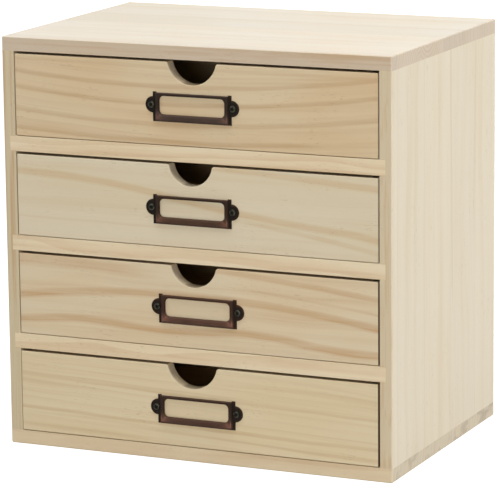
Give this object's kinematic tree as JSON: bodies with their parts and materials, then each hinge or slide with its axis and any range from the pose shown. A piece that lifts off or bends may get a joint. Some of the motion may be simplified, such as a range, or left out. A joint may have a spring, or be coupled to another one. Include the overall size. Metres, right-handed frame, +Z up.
{
  "type": "craft stamp storage drawers",
  "caption": "Tabletop pine cabinet with inset drawers, round finger notches and dark bronze label frames, for craft stamps and small parts.",
  "frame": {"origin": "middle of the cabinet's underside, midway between its front and rear edges and its sides", "axes": "+Z up, -Y towards the user where the drawers open, +X to the user's right"},
  "size_m": [0.32, 0.2225, 0.32],
  "materials": {
    "pine": "bare sanded pine",
    "plywood": "bare thin plywood",
    "beech": "bare turned dowel",
    "antique_bronze": "pressed steel with a dark antique bronze finish, copper where it is rubbed",
    "blackened_steel": "blackened round-head wood screw",
    "steel_wire": "bare wire brad"
  },
  "bodies": {
    "cabinet": {"top_panel": "pine", "bottom_panel": "pine", "left_side_panel": "pine", "right_side_panel": "pine", "upper_divider": "pine", "middle_divider": "pine", "lower_divider": "pine", "back_panel": "plywood", "back_panel_brads": "steel_wire", "corner_dowels": "beech"},
    "drawer_1": {"drawer_1_front": "pine", "drawer_1_left_side": "pine", "drawer_1_right_side": "pine", "drawer_1_back": "pine", "drawer_1_bottom": "plywood", "drawer_1_brads": "steel_wire", "drawer_1_label_frame": "antique_bronze", "drawer_1_label_screws": "blackened_steel"},
    "drawer_2": {"drawer_2_front": "pine", "drawer_2_left_side": "pine", "drawer_2_right_side": "pine", "drawer_2_back": "pine", "drawer_2_bottom": "plywood", "drawer_2_brads": "steel_wire", "drawer_2_label_frame": "antique_bronze", "drawer_2_label_screws": "blackened_steel"},
    "drawer_3": {"drawer_3_front": "pine", "drawer_3_left_side": "pine", "drawer_3_right_side": "pine", "drawer_3_back": "pine", "drawer_3_bottom": "plywood", "drawer_3_brads": "steel_wire", "drawer_3_label_frame": "antique_bronze", "drawer_3_label_screws": "blackened_steel"},
    "drawer_4": {"drawer_4_front": "pine", "drawer_4_left_side": "pine", "drawer_4_right_side": "pine", "drawer_4_back": "pine", "drawer_4_bottom": "plywood", "drawer_4_brads": "steel_wire", "drawer_4_label_frame": "antique_bronze", "drawer_4_label_screws": "blackened_steel"}
  },
  "joints": [
    {"name": "drawer_1_slide", "type": "slide", "parent": "cabinet", "child": "drawer_1", "axis": [0, -1, 0], "range_m": [0, 0.16]},
    {"name": "drawer_2_slide", "type": "slide", "parent": "cabinet", "child": "drawer_2", "axis": [0, -1, 0], "range_m": [0, 0.16]},
    {"name": "drawer_3_slide", "type": "slide", "parent": "cabinet", "child": "drawer_3", "axis": [0, -1, 0], "range_m": [0, 0.16]},
    {"name": "drawer_4_slide", "type": "slide", "parent": "cabinet", "child": "drawer_4", "axis": [0, -1, 0], "range_m": [0, 0.16]}
  ]
}
